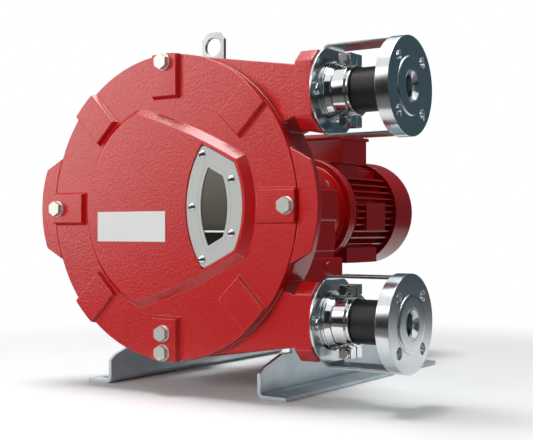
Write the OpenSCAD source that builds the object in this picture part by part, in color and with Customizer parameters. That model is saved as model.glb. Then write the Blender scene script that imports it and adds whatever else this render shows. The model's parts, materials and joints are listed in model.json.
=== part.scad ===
// Peristaltic hose pump with a coaxial geared motor.
// X runs towards the two ports, Y back to the motor, Z up.
// The floor is z = 0 and the origin is the middle of the four floor bolts.
// Inside at_axis() the origin is the pump axis at the front plane of the cover.

/* [Pump head] */
// Height of the pump axis above the floor
axis_h = 233; // [225:1:250]
// Radius of the round front cover
cover_r = 191.5; // [188:0.5:196]
// Thickness of the cover plate
cover_t = 8; // [7:0.5:12]
// Width of the raised pads on the cover
pad_w = 38; // [30:1:46]
// Radius at which the pads begin
pad_inner_r = 136; // [136:1:150]
// Height of the pads above the cover plate
pad_h = 7; // [4:0.5:9]
// How far the walls of the pads slope inward
pad_draft = 2.5; // [1:0.5:4]
// Distance from the rim of the cover in to the circle of its bolts
cover_bolt_inset = 10.5; // [8:0.5:13]
// Distance from the rim of the cover in to the outside of the drum
rim_w = 19.2; // [17:0.1:22]
// Distance from the lowest cover bolt up to the drain plug
plug_rise = 24; // [22:1:28]
// How far the housing ears stand out beside the cover
ear_reach = 27.5; // [22:0.5:30]
// Half height of each ear at its corners
ear_half = 53; // [44:1:58]
// How far the corners of an ear stand back from its middle
ear_round = 10; // [6:0.5:14]
// Clear depth of the pump chamber behind the cover plate
chamber_depth = 81; // [81:1:96]
// Wall of the drum
drum_wall = 11; // [8:1:14]
// Thickness of the back wall of the drum
back_wall = 8; // [8:1:14]
// Chamfer on the back edge of the drum, across its radius
drum_chamfer = 5; // [2:0.5:8]

/* [Raised shield] */
// Height of the shield above the cover plate
shield_h = 10; // [8:0.5:12]
// Radius of the round ends of the shield, at its foot
shield_r = 134; // [130:1:136]
// Left corner of the shield, sideways from the axis
shield_left_x = -43; // [-55:1:-35]
// Left corner of the shield, up from the axis
shield_left_z = 127; // [120:0.2:128]
// Right corner of the shield, sideways from the axis
shield_right_x = 122.5; // [112:0.5:124]
// Right corner of the shield, up from the axis
shield_right_z = 60; // [55:0.5:68]
// How far the long edges of the shield bulge
shield_bulge = 5.5; // [4:0.1:9]
// Width of the sloping border of the shield
shield_bevel = 9; // [8:0.5:13]

/* [Window] */
// Width of the lip between the shield's border and the window
window_lip = 4.2; // [3:0.1:6]
// Width of the window frame
window_border = 22; // [18:0.5:26]
// Radius of the curved left side of the window
window_left_r = 128; // [120:1:150]
// Leftmost point of the window
window_left_x = 37; // [34:1:44]
// Thickness of the window frame
frame_t = 2; // [1.5:0.5:3]
// Thickness of the window pane
pane_t = 3; // [2:0.5:4]
// Thickness of the gasket under the pane
gasket_t = 1; // [0.5:0.5:1.5]
// How far the frame lies below the top of the shield
frame_recess = 1.5; // [0.5:0.5:2]
// Radius of the heads of the window screws
window_head_r = 4; // [3:0.5:5]

/* [Hose and rotor] */
// Radius of the hose bore
hose_bore_r = 12.5; // [11:0.5:13]
// Wall of the hose
hose_wall = 13.5; // [12:0.5:14]
// Distance from the cover front to the plane of the hose
hose_y = 55; // [54:1:57]
// Radius of the nose of each pressing shoe
shoe_nose_r = 60; // [55:1:66]
// Width of the rotor and its shoes
rotor_w = 60; // [50:1:62]
// Radius of the rotor hub
hub_r = 48; // [42:1:52]
// Half height of the rotor arms
arm_half = 28; // [22:1:30]

/* [Ports] */
// End of the cast port body
port_x = 183; // [180:1:190]
// Length of the port boss
boss_len = 24; // [20:1:28]
// Half height of the port boss
boss_half_z = 46.5; // [45:0.5:50]
// Half depth of the port boss
boss_half_y = 48; // [48:0.5:52]
// Chamfer of the port boss
boss_chamfer = 14; // [8:1:18]
// How far the housing's top edge near the drum lies above the middle of the port
shoulder_rise = 55; // [53:0.5:59]
// Half height of the port body at its end
port_half = 30; // [28:1:36]
// Radius of the round base of a port bracket
bracket_r = 54; // [52:0.5:57]
// Sheet thickness of a port bracket
bracket_t = 3; // [2:0.5:5]
// Outer radius of the bends of a port bracket
bracket_bend = 6; // [5.5:0.5:9]
// Width of the arms of a port bracket
bracket_arm_w = 44; // [38:1:46]
// Distance from the boss to the back of the flange
flange_gap = 85.5; // [80:0.5:92]
// Bolt radius on the base of a port bracket
bracket_bolt_r = 42.5; // [42:0.5:43]
// Outer radius of a port flange
flange_r = 57.5; // [55:0.5:62]
// Thickness of a port flange without its raised face
flange_t = 16.5; // [12:0.5:18]
// Radius of the raised face at its foot
raised_r = 34.5; // [30:0.5:34.5]
// How far the edge of the raised face slopes inward
raised_slope = 4; // [1:0.5:5]
// Height of the raised face
raised_h = 2; // [1:0.5:3]
// Bolt circle diameter of a port flange
flange_pcd = 85; // [84:1:89]
// Radius of the flange bolt holes
flange_hole_r = 7; // [5.5:0.5:7]
// Outer radius of the insert in the flange
insert_head_r = 18.5; // [17:0.5:20]
// Wall of the insert where it enters the hose
insert_wall = 3; // [2:0.5:4]
// Length of the insert behind the flange
insert_len = 56; // [45:1:60]
// Outer radius of the plated hose collar
collar_r = 29.5; // [28.5:0.5:31]
// Length of the plated hose collar
collar_len = 33; // [30:1:38]
// Width of the hose clamp
clamp_w = 16; // [12:1:18]

/* [Feet] */
// Length of each foot
foot_len = 428; // [400:1:450]
// Distance from the cover front back to the feet
foot_setback = 28; // [24:1:34]
// Sheet thickness of the feet
foot_t = 5; // [4:0.5:6]
// Distance from the axis to the inner face of a foot
foot_x = 117; // [112:1:122]
// Width of the foot that lies on the floor
foot_w = 41; // [36:1:50]
// Distance from the middle of the lower port down to the top of the foot under the drum
foot_mid_drop = 48; // [47:1:54]
// Further drop of the top of the foot at its front end
foot_front_drop = 12; // [6:1:18]
// Distance from the pump axis down to the top of the foot beside the drive bracket
foot_rear_drop = 141; // [133:1:153]
// Radius of the floor bolt holes
floor_hole_r = 6; // [4.5:0.5:7]
// Distance of the floor bolt holes from the ends of the foot
floor_hole_inset = 20; // [15:1:30]

/* [Lifting eye] */
// Width of the lifting eye
eye_w = 36; // [34:1:39]
// Thickness of the lifting eye
eye_t = 5; // [4:0.5:8]
// Radius of the hole in the lifting eye
eye_hole_r = 12.5; // [9:0.5:14]
// Height of that hole above the drum
eye_rise = 42.2; // [36:0.2:48]

/* [Drive bracket] */
// Thickness of the front plate of the drive bracket
plate_t = 16; // [14:1:20]
// Radius of the round plate
plate_r = 114; // [110:1:118]
// Reach of the two side lugs
lug_reach = 150; // [144:1:155]
// Depth of the side lugs behind the pump housing
lug_depth = 69; // [60:1:75]
// Height of the side lugs
lug_h = 39; // [34:1:44]
// Depth of the side walls behind the pump housing
wall_depth = 143; // [120:1:150]
// Top of the side walls below the axis
wall_drop = 66; // [60:1:72]

/* [Gearbox] */
// Gear module
gear_m = 1.5; // [1.5:0.1:1.6]
// Teeth of each pinion
pinion_teeth = 17; // [17:1:19]
// Teeth of each wheel
wheel_teeth = 85; // [80:1:86]
// Face width of the wheels
wheel_w = 24; // [18:1:26]
// Wall of the gearbox
gearbox_wall = 10; // [8:1:12]
// Length of the gearbox case
gearbox_len = 149; // [142:1:154]
// Length of the round neck between gearbox and motor
neck_len = 48; // [40:1:60]
// Radius of the output shaft
shaft_r = 20; // [17:0.5:22]
// Radius of the layshaft
layshaft_r = 8; // [7:0.5:9]

/* [Motor] */
// Radius of the motor flange
motor_flange_r = 80; // [78:1:90]
// Thickness of the motor flange
motor_flange_t = 14; // [12:1:18]
// Inner radius of the motor frame
frame_bore_r = 60; // [56:1:62]
// Wall of the motor frame
frame_wall = 5; // [4:0.5:7]
// Outer radius of the cooling fins
fin_r = 77; // [72:1:79]
// Distance between cooling fins
fin_pitch = 10; // [9:0.5:14]
// Thickness of a cooling fin
fin_t = 2.4; // [1.8:0.2:3.4]
// Length of the motor frame
motor_len = 131; // [124:1:140]
// Outer radius of the fan cover
fan_cover_r = 82; // [80:1:86]
// Length of the fan cover
fan_cover_len = 56; // [52:1:66]
// Radius of the motor shaft
motor_shaft_r = 12; // [10:0.5:13]
// Radius of the motor's rotor core
core_r = 38; // [34:1:40]
// Half width of the terminal box
box_half = 55; // [48:1:60]
// Depth of the terminal box along the motor
box_len = 78; // [70:1:90]
// Height of the terminal box
box_h = 36; // [30:1:44]
// Bottom of the terminal box above the axis
box_z = 73; // [70:1:78]

/* [Fasteners] */
// Shank radius of the large hex bolts
bolt_r = 5; // [4:0.5:5]
// Half width across the flats of the large hex bolts
bolt_flat = 8.5; // [7.5:0.5:9]
// Head height of the large hex bolts
bolt_head_h = 6.5; // [5:0.5:8]
// Shank radius of the medium hex bolts
medium_r = 4; // [3.5:0.5:4.5]
// Half width across the flats of the medium hex bolts
medium_flat = 6.5; // [6:0.5:7]
// Head height of the medium hex bolts
medium_head_h = 5.3; // [4.5:0.1:6]
// Shank radius of the small hex bolts
small_r = 3; // [2.5:0.5:3]
// Half width across the flats of the small hex bolts
small_flat = 5; // [4.5:0.5:5.5]
// Head height of the small hex bolts
small_head_h = 4; // [3.5:0.1:5]
// Washer radius of the large hex bolts
washer_r = 10.5; // [9.5:0.5:11]
// Washer thickness
washer_t = 2; // [1.5:0.5:2.5]

/* [Hidden] */
$fn = 96;
eps = 0.01;
big = 1000;
// Clearance of a soft part or a register from its neighbour
rest_gap = 0.3;
// Running clearance of a shaft in its bearing
run_gap = 0.05;
fit_gap = 0.2;

red = "firebrick";
zinc = "lightgray";
steel = "silver";
dark = "dimgray";

// Pump chamber; the hose lies against the wall of the drum
squeezed_slot = 0.6;
shoe_gap = 0.5;
hose_r = hose_bore_r + hose_wall;
drum_r = cover_r - rim_w;
track_r = drum_r - drum_wall;
hose_path_r = track_r - rest_gap - hose_r;
cover_bolt_r = cover_r - cover_bolt_inset;
ear_r = cover_r + ear_reach;
ear_arc_r = (pow(ear_half, 2) + pow(ear_round, 2)) / (2 * ear_round);
ear_front = 0.5;
ear_back = ear_front + 5;
ear_slope = 0.52;
ear_taper = ear_reach + 3;
port_z = hose_path_r;
port_bore_r = hose_r + rest_gap;
squeezed_t = 2 * hose_wall + squeezed_slot;
shoe_tip_r = track_r - rest_gap - squeezed_t - shoe_gap;
shoe_centre_r = shoe_tip_r - shoe_nose_r;
shoe_block_t = 35;
shoe_seat_r = shoe_tip_r - shoe_block_t;
spigot_h = 6;
spigot_wall = 11;
seal_groove = 2;
seal_inner_r = track_r + 3;
seal_outer_r = track_r + 7;

// Feet
foot_mid_h = axis_h - port_z - foot_mid_drop;
foot_front_h = foot_mid_h - foot_front_drop;
foot_rear_h = axis_h - foot_rear_drop;

// Stations along Y, counted from the cover front
cover_y = -(foot_setback + foot_len / 2);
housing_y = cover_t;
flange_plate_y = cover_t + 12;
chamber_end = cover_t + chamber_depth;
rear_y = chamber_end + back_wall;
case_y = rear_y + plate_t;
case_end = case_y + gearbox_len;
neck_start = case_end + 20;
motor_y = neck_start + neck_len + 8;
frame_y = motor_y + motor_flange_t;
frame_end = frame_y + motor_len;
cover_end_y = frame_end + fan_cover_len;
drum_chamfer_w = 9;
back_hole = 7;
port_front = housing_y + 4;
port_back = rear_y - 4;

// Window stack, from the shield's top down to the ledge
window_top = -shield_h + frame_recess;
window_floor = window_top + frame_t + pane_t + gasket_t;
window_ledge = 12;
window_fit = 0.4;
screw_inset = 11;
window_screw_r = 1.5;

// Bare plate on the shield
plate_left = -106;
plate_right = 6;
plate_low = -43;
plate_high = -5;
plate_thick = 1;

// Ports
port_root = 60;
shoulder_x = 20;
boss_end = port_x + boss_len;
bracket_face = boss_end + bracket_t;
bracket_bolt_depth = 18;
flange_x = boss_end + flange_gap;
port_face = flange_x + flange_t + raised_h;
insert_r = hose_bore_r + insert_wall;
insert_x = flange_x - insert_len;
clamp_x = bracket_face + 13;
clamp_ear = 14;
clamp_ring_t = 3;
clamp_bolt_z = collar_r + 7.5;
screw_r = 2.5;
tab_h = 16;
tab_screw_z = bracket_r - tab_h + 6;

// Gears
lay_drop = gear_m * (wheel_teeth + pinion_teeth) / 2;
wheel_tip_r = gear_m * (wheel_teeth + 2) / 2;
backlash = 0.3;
case_inner_r = wheel_tip_r + 5;
case_r = case_inner_r + gearbox_wall;
front_wall = 18;
cavity_y = case_y + front_wall;
wheel_gap = 14;
wheel_pitch = 62;
bearing_w = 14;
bearing_ring = 20;
output_wheel_y = cavity_y + wheel_gap;
lay_wheel_y = output_wheel_y + wheel_pitch;
pinion_end_r = 7;
case_bolt_angles = [35, 145];
case_bolt_reach = case_r + 8;
case_boss_r = 9;
case_boss_h = 12;
case_web = 14;

// Motor
fan_shaft_r = 9;
stator_front = 20;
stator_back = 28;
stator_y = frame_y + stator_front;
stator_len = motor_len - stator_front - stator_back;
winding_len = 14;
fan_gap = 14;
fan_y = frame_end + fan_gap;
fan_hub_r = 20;
fan_w = 20;
fan_disc_t = 3;
fan_blade_t = 2.4;
lid_h = 9;
flange_rim_end = frame_y - 4;
box_y = flange_rim_end + 0.5;

module at_axis() {
    translate([0, cover_y, axis_h]) children();
}

module along_y(from, to) {
    translate([0, to, 0]) rotate([90, 0, 0]) linear_extrude(to - from) children();
}

module along_x(from, to) {
    translate([from, 0, 0]) rotate([90, 0, 90]) linear_extrude(to - from) children();
}

module rod_y(r, from, to) {
    translate([0, from, 0]) rotate([-90, 0, 0]) cylinder(r = r, h = to - from);
}

module rod_x(r, from, to) {
    translate([from, 0, 0]) rotate([0, 90, 0]) cylinder(r = r, h = to - from);
}

module ring_y(outer, inner, from, to) {
    difference() {
        rod_y(outer, from, to);
        rod_y(inner, from - 1, to + 1);
    }
}

module ring_x(outer, inner, from, to) {
    difference() {
        rod_x(outer, from, to);
        rod_x(inner, from - 1, to + 1);
    }
}

// Block between two corners
module block(low, high) {
    translate(low) cube(high - low);
}

module mirror_copy(axis) {
    children();
    mirror(axis) children();
}

module turn_y(angle) {
    rotate([0, -angle, 0]) children();
}

// Hex head and shank along Y; the head's bearing face is at y, facing back
module hex_bolt_y(r, flat, head, y, length) {
    translate([0, y - head, 0]) rotate([-90, 0, 0]) cylinder(r = flat / cos(30), h = head, $fn = 6);
    rod_y(r, y - eps, y + length);
}

module hex_bolt_x(r, flat, head, x, length) {
    translate([x - head, 0, 0]) rotate([0, 90, 0]) cylinder(r = flat / cos(30), h = head, $fn = 6);
    rod_x(r, x - eps, x + length);
}

// Cover and its shield
function shield_mid() =
    [(shield_left_x + shield_right_x) / 2, (shield_left_z + shield_right_z) / 2];
function shield_half() = norm([shield_right_x - shield_left_x, shield_right_z - shield_left_z]) / 2;
function shield_edge_r() = (pow(shield_half(), 2) + pow(shield_bulge, 2)) / (2 * shield_bulge);
function shield_normal() =
    [shield_left_z - shield_right_z, shield_right_x - shield_left_x] / (2 * shield_half());
function shield_centre() = shield_mid() - (shield_edge_r() - shield_bulge) * shield_normal();

// One frustum of the shield, with its foot on y = 0 and its top towards the front
module shield_cone(r, centre, inset) {
    translate([centre[0], 0, centre[1]]) rotate([90, 0, 0])
        cylinder(r1 = r - inset, r2 = r - inset - shield_bevel, h = shield_h, $fn = 180);
}

module shield_solid() {
    c = shield_centre();
    intersection() {
        shield_cone(shield_r, [0, 0], 0);
        shield_cone(shield_edge_r(), c, 0);
        shield_cone(shield_edge_r(), [c[0], -c[1]], 0);
    }
}

// Outline of the window, inset from the shield's top edge
module window_outline(inset) {
    c = shield_centre();
    total = shield_bevel + window_lip + inset;
    intersection() {
        circle(r = shield_r - total, $fn = 180);
        translate(c) circle(r = shield_edge_r() - total, $fn = 360);
        translate([c[0], -c[1]]) circle(r = shield_edge_r() - total, $fn = 360);
        translate([window_left_x + window_left_r, 0]) circle(r = window_left_r - inset, $fn = 180);
    }
}

// Centres of the five window screws, on a line inset from the window's edge
function arc_point(r, angle) = [r * cos(angle), r * sin(angle)];
function screw_corner_x() = window_left_x + 24.5;
function screw_corner_z() = shield_centre()[1]
    + sqrt(pow(shield_edge_r() - shield_bevel - window_lip - screw_inset, 2)
        - pow(screw_corner_x() - shield_centre()[0], 2));
window_screw_places = [
    [screw_corner_x(), screw_corner_z()],
    [screw_corner_x(), -screw_corner_z()],
    [window_left_x + screw_inset - 2, 0],
    arc_point(shield_r - shield_bevel - window_lip - screw_inset, 17),
    arc_point(shield_r - shield_bevel - window_lip - screw_inset, -17)
];

module at_window_screws() {
    for (p = window_screw_places) translate([p[0], 0, p[1]]) children();
}

module at_cover_bolts() {
    for (angle = [0, 90, 180, 270])
        translate([cover_bolt_r * cos(angle), 0, cover_bolt_r * sin(angle)]) children();
}

module at_plug() {
    translate([0, 0, -cover_bolt_r + plug_rise]) children();
}

// Raised pad with sloping walls
module pad(angle) {
    top = pad_w / 2;
    foot = top + pad_draft;
    end = cover_r + 1;
    turn_y(angle) intersection() {
        along_x(pad_inner_r - 1, end) polygon([[eps, -foot], [eps, foot], [-pad_h, top], [-pad_h, -top]]);
        translate([0, 0, -foot - 1]) linear_extrude(2 * foot + 2) polygon([
            [pad_inner_r, eps], [pad_inner_r + pad_draft, -pad_h], [end, -pad_h], [end, eps]
        ]);
        rod_y(cover_r + 0.4, -pad_h - 1, 1);
    }
}

module cover() {
    color(red) at_axis() difference() {
        union() {
            rod_y(cover_r, 0, cover_t, $fn = 180);
            ring_y(track_r - fit_gap, track_r - spigot_wall, cover_t - eps, cover_t + spigot_h);
            shield_solid();
            for (i = [0:7]) pad(45 * i);
        }
        along_y(-shield_h - 1, window_floor) window_outline(0);
        along_y(-shield_h - 1, cover_t + 1) window_outline(window_ledge);
        at_window_screws() rod_y(window_screw_r, window_floor - 1, cover_t - 1);
        at_cover_bolts() rod_y(bolt_r, -pad_h - 1, cover_t + 1);
        at_plug() rod_y(bolt_r, -pad_h - 1, cover_t - 1);
        ring_y(seal_outer_r, seal_inner_r, cover_t - seal_groove, cover_t + 1);
    }
}

module cover_seal() {
    color(dark) at_axis() ring_y(seal_outer_r, seal_inner_r, cover_t - seal_groove, cover_t);
}

module cover_bolts() {
    color(steel) at_axis() at_cover_bolts()
        hex_bolt_y(bolt_r, bolt_flat, bolt_head_h, -pad_h - washer_t, pad_h + washer_t + cover_t + 18);
}

module cover_washers() {
    color(steel) at_axis() {
        at_cover_bolts() ring_y(washer_r, bolt_r, -pad_h - washer_t, -pad_h);
        at_plug() ring_y(washer_r, bolt_r, -pad_h - washer_t, -pad_h);
    }
}

module cover_plug() {
    color(steel) at_axis() at_plug()
        hex_bolt_y(bolt_r, bolt_flat, bolt_head_h, -pad_h - washer_t, pad_h + washer_t + cover_t - 1);
}

module window_plate(from, to, hole) {
    difference() {
        along_y(from, to) window_outline(window_fit);
        if (hole > 0) along_y(from - 1, to + 1) window_outline(hole);
        at_window_screws() rod_y(window_screw_r, from - 1, to + 1);
    }
}

module window_gasket() {
    color(dark) at_axis() window_plate(window_floor - gasket_t, window_floor, window_ledge);
}

module window_pane() {
    color("darkslategray", 0.6) at_axis()
        window_plate(window_top + frame_t, window_floor - gasket_t, 0);
}

module window_frame() {
    color(zinc) at_axis() window_plate(window_top, window_top + frame_t, window_border);
}

module window_screws() {
    color(steel) at_axis() at_window_screws() {
        rod_y(window_screw_r, window_top - eps, window_floor + 4);
        intersection() {
            translate([0, window_top, 0]) scale(window_head_r) sphere(r = 1, $fn = 32);
            rod_y(window_head_r, window_top - 3, window_top);
        }
    }
}

module nameplate() {
    color("whitesmoke") at_axis()
        block([plate_left, -shield_h - plate_thick, plate_low], [plate_right, -shield_h, plate_high]);
}

// Housing
module port_outline() {
    polygon([
        [0, port_root], [shoulder_x, port_z + shoulder_rise], [port_x, port_z + port_half],
        [port_x, port_z - port_half], [port_root, port_root]
    ]);
}

module boss_outline() {
    y = boss_half_y;
    z = boss_half_z;
    c = boss_chamfer;
    polygon([
        [-y, c - z], [c - y, -z], [y - c, -z], [y, c - z],
        [y, z - c], [y - c, z], [c - y, z], [-y, z - c]
    ]);
}

module at_ports() {
    for (side = [1, -1]) translate([0, hose_y, side * port_z]) children();
}

module ear_outline() {
    root_x = cover_r - 40;
    root_z = ear_half + (ear_r - ear_round - root_x) * ear_slope;
    tip_x = ear_r + 5;
    tip_z = ear_half - (ear_round + 5) * ear_slope;
    polygon([[root_x, root_z], [tip_x, tip_z], [tip_x, -tip_z], [root_x, -root_z]]);
}

// Crescent that stands beside the cover's rim, thin at its edge and thicker towards the rim
module ear() {
    end = flange_plate_y - 2;
    intersection() {
        along_y(ear_front, end) ear_outline();
        translate([ear_r - ear_arc_r, 0, 0]) union() {
            rod_y(ear_arc_r, -1, ear_back, $fn = 180);
            translate([0, ear_back, 0]) rotate([-90, 0, 0])
                cylinder(r1 = ear_arc_r, r2 = ear_arc_r - ear_taper, h = end - ear_back, $fn = 180);
        }
    }
}

module pump_housing() {
    color(red) at_axis() difference() {
        union() {
            rod_y(cover_r - 1, housing_y, flange_plate_y, $fn = 180);
            rod_y(drum_r, housing_y, rear_y - drum_chamfer_w, $fn = 180);
            translate([0, rear_y - drum_chamfer_w, 0]) rotate([-90, 0, 0])
                cylinder(r1 = drum_r, r2 = drum_r - drum_chamfer, h = drum_chamfer_w, $fn = 180);
            ear();
            mirror([1, 0, 0]) ear();
            mirror_copy([0, 0, 1]) along_y(port_front, port_back) port_outline();
            at_ports() along_x(port_x - eps, boss_end) boss_outline();
            at_cover_bolts() rod_y(10, housing_y, flange_plate_y + 14);
        }
        rod_y(cover_r + 0.3, housing_y - 10, housing_y, $fn = 180);
        rod_y(track_r, housing_y - 1, chamber_end, $fn = 180);
        at_ports() rod_x(port_bore_r, 0, boss_end + 1);
        rod_y(bearing_ring + 12, chamber_end - 1, rear_y + 1);
        at_cover_bolts() rod_y(bolt_r, housing_y - 1, flange_plate_y + 8);
        at_bracket_bolts() rod_x(medium_r, boss_end - bracket_bolt_depth, boss_end + 1);
        at_rear_bolts() rod_y(bolt_r, rear_y - back_hole, rear_y + 1);
        at_eye_bolts() rod_y(bolt_r, rear_y - back_hole, rear_y + 1);
    }
}

module lifting_eye() {
    half = eye_w / 2;
    top = drum_r + eye_rise + 20;
    bottom = drum_r - 48.3;
    chamfer = 10;
    color(zinc) at_axis() difference() {
        along_y(rear_y, rear_y + eye_t) polygon([
            [-half, bottom], [half, bottom], [half, top - chamfer], [half - chamfer, top],
            [chamfer - half, top], [-half, top - chamfer]
        ]);
        translate([0, 0, drum_r + eye_rise]) rod_y(eye_hole_r, rear_y - 1, rear_y + eye_t + 1);
        at_eye_bolts() rod_y(bolt_r, rear_y - 1, rear_y + eye_t + 1);
    }
}

module at_eye_bolts() {
    for (drop = [14.3, 36.3]) translate([0, 0, drum_r - drop]) children();
}

// Hose, squeezed flat where the shoe presses it
function nose_reach(angle) = shoe_centre_r * cos(angle)
    + sqrt(max(0, pow(shoe_nose_r + shoe_gap, 2) - pow(shoe_centre_r * sin(angle), 2)));
function hose_thickness(offset) = abs(offset) > 50 ? 2 * hose_r
    : min(2 * hose_r, track_r - rest_gap - nose_reach(offset));
function stadium(t, spread, sides) = [
    for (i = [0:sides - 1])
        let (a = 360 * (i + 0.5) / sides)
        [t / 2 * cos(a) + (cos(a) > 0 ? spread : -spread), t / 2 * sin(a)]
];
function hose_section(t, bore) = stadium(t, PI * (2 * hose_r - t) / 4, hose_sides);
function bore_section(t, r) = stadium(
    max(squeezed_slot, t - 2 * hose_r + 2 * r),
    PI * (2 * hose_r - t) / 4, hose_sides);
hose_sides = 24;
// The flats of the faceted bore lie on the insert
hose_socket_r = insert_r / cos(180 / hose_sides);
hose_step = 4;
// Each ring is [point on the path, radial direction, thickness, bore radius]
hose_rings = concat(
    [for (end = [[flange_x, hose_socket_r], [insert_x, hose_socket_r], [insert_x - 8, hose_bore_r]])
        [[end[0], port_z], [0, 1], 2 * hose_r, end[1]]],
    [for (a = [90:hose_step:270])
        let (t = hose_thickness(a - 180), r = track_r - rest_gap - t / 2)
        [[r * cos(a), r * sin(a)], [cos(a), sin(a)], t, hose_bore_r]],
    [for (end = [[insert_x - 8, hose_bore_r], [insert_x, hose_socket_r], [flange_x, hose_socket_r]])
        [[end[0], -port_z], [0, -1], 2 * hose_r, end[1]]]
);
function ring_points(ring, section) = [
    for (p = section)
        [ring[0][0] + ring[1][0] * p[1], hose_y + p[0], ring[0][1] + ring[1][1] * p[1]]
];

module pump_hose() {
    n = len(hose_rings);
    m = hose_sides;
    outer = [for (ring = hose_rings) each ring_points(ring, hose_section(ring[2], ring[3]))];
    inner = [for (ring = hose_rings) each ring_points(ring, bore_section(ring[2], ring[3]))];
    base = n * m;
    skin = [for (i = [0:n - 2]) for (j = [0:m - 1])
        let (k = (j + 1) % m) [i * m + j, i * m + k, (i + 1) * m + k, (i + 1) * m + j]];
    lining = [for (f = skin) [f[3] + base, f[2] + base, f[1] + base, f[0] + base]];
    first = [for (j = [0:m - 1]) let (k = (j + 1) % m) [j, j + base, k + base, k]];
    last = [for (j = [0:m - 1])
        let (k = (j + 1) % m, o = (n - 1) * m) [o + k, o + k + base, o + j + base, o + j]];
    color("black") at_axis()
        polyhedron(points = concat(outer, inner), faces = concat(skin, lining, first, last), convexity = 6);
}

// Port fittings; each is drawn about the centre of the upper port
module at_port(side) {
    at_axis() translate([0, hose_y, side * port_z]) children();
}

module at_bracket_bolts() {
    at_ports() for (side = [1, -1]) translate([0, side * bracket_bolt_r, 0]) children();
}

// Solid inside the bent sheet, smaller by the inset
module bracket_core(inset, end) {
    half = bracket_arm_w / 2 + inset;
    turn = bracket_r - bracket_bend;
    block([boss_end + inset, -half, -turn], [end, half, turn]);
    block([boss_end + bracket_bend, -half, inset - bracket_r], [end, half, bracket_r - inset]);
    mirror_copy([0, 0, 1]) translate([boss_end + bracket_bend, half, turn]) rotate([90, 0, 0])
        cylinder(r = bracket_bend - inset, h = 2 * half);
}

module bracket(side) {
    tab = bracket_arm_w / 2 - 12;
    turn = bracket_r - bracket_bend;
    color(zinc) at_port(side) difference() {
        union() {
            difference() {
                bracket_core(0, flange_x);
                bracket_core(bracket_t, flange_x + 1);
            }
            intersection() {
                rod_x(bracket_r, boss_end, bracket_face);
                block([0, -bracket_r - 1, -turn], [big, bracket_r + 1, turn]);
            }
            mirror_copy([0, 0, 1])
                block([flange_x - bracket_t, -tab, bracket_r - tab_h], [flange_x, tab, bracket_r]);
        }
        rod_x(port_bore_r, boss_end - 1, bracket_face + 1);
        for (s = [1, -1]) translate([0, s * bracket_bolt_r, 0])
            rod_x(medium_r, boss_end - 1, bracket_face + 1);
        mirror_copy([0, 0, 1]) translate([0, 0, tab_screw_z])
            rod_x(screw_r, flange_x - bracket_t - 1, flange_x + 1);
    }
}

module hose_collar(side) {
    color(steel) at_port(side) difference() {
        union() {
            rod_x(36, bracket_face, bracket_face + 4);
            translate([bracket_face + 4 - eps, 0, 0]) rotate([0, 90, 0]) cylinder(r1 = 34.5, r2 = 32, h = 8);
            rod_x(collar_r, bracket_face, bracket_face + collar_len);
        }
        rod_x(port_bore_r, bracket_face - 1, bracket_face + collar_len + 1);
    }
}

// Half of the two-part clamp, with its ears, in front of the hose
module clamp_half() {
    ring = collar_r + clamp_ring_t;
    difference() {
        union() {
            ring_x(ring, collar_r, clamp_x, clamp_x + clamp_w);
            block([clamp_x, -clamp_ear, collar_r + 1], [clamp_x + clamp_w, -1, clamp_bolt_z + 6]);
            block([clamp_x, -clamp_ear, -clamp_bolt_z - 6], [clamp_x + clamp_w, -1, -collar_r - 1]);
        }
        block([clamp_x - 1, -1, -ring - 20], [clamp_x + clamp_w + 1, ring + 1, ring + 20]);
        for (side = [1, -1]) translate([clamp_x + clamp_w / 2, 0, side * clamp_bolt_z])
            rod_y(small_r, -big, big);
    }
}

module hose_clamp(side) {
    color(steel) at_port(side) mirror_copy([0, 1, 0]) clamp_half();
}

module clamp_bolts() {
    color(steel) for (port = [1, -1]) at_port(port)
        for (side = [1, -1]) translate([clamp_x + clamp_w / 2, 0, side * clamp_bolt_z]) {
            hex_bolt_y(small_r, small_flat, small_head_h, -clamp_ear, 2 * clamp_ear + 8);
            translate([0, clamp_ear, 0]) rotate([-90, 0, 0]) difference() {
                cylinder(r = small_flat / cos(30), h = 5, $fn = 6);
                translate([0, 0, -1]) cylinder(r = small_r - eps, h = 7);
            }
        }
}

module flange(side) {
    color(steel) at_port(side) difference() {
        union() {
            rod_x(flange_r, flange_x, flange_x + flange_t, $fn = 180);
            translate([flange_x + flange_t - eps, 0, 0]) rotate([0, 90, 0])
                cylinder(r1 = raised_r, r2 = raised_r - raised_slope, h = raised_h + eps);
        }
        rod_x(insert_head_r, flange_x + 4, port_face + 1);
        rod_x(insert_r, flange_x - 1, port_face);
        for (i = [0:3]) rotate([45 + 90 * i, 0, 0]) translate([0, flange_pcd / 2, 0])
            rod_x(flange_hole_r, flange_x - 1, port_face + 1);
        mirror_copy([0, 0, 1]) translate([0, 0, tab_screw_z])
            rod_x(screw_r, flange_x - 1, flange_x + 9);
    }
}

module insert(side) {
    color(zinc) at_port(side) difference() {
        union() {
            rod_x(insert_head_r, flange_x + 4, port_face);
            rod_x(insert_r, insert_x, flange_x + 5);
        }
        rod_x(hose_bore_r, insert_x - 1, port_face + 1);
    }
}

module bracket_bolts() {
    color(steel) at_axis() at_bracket_bolts() mirror([1, 0, 0])
        hex_bolt_x(medium_r, medium_flat, medium_head_h, -bracket_face, bracket_t + bracket_bolt_depth - 2);
}

module flange_screws() {
    color(steel) for (port = [1, -1]) at_port(port)
        mirror_copy([0, 0, 1]) translate([0, 0, tab_screw_z]) {
            rod_x(screw_r, flange_x - bracket_t - eps, flange_x + 8);
            rod_x(4.5, flange_x - bracket_t - 3, flange_x - bracket_t);
        }
}

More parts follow.
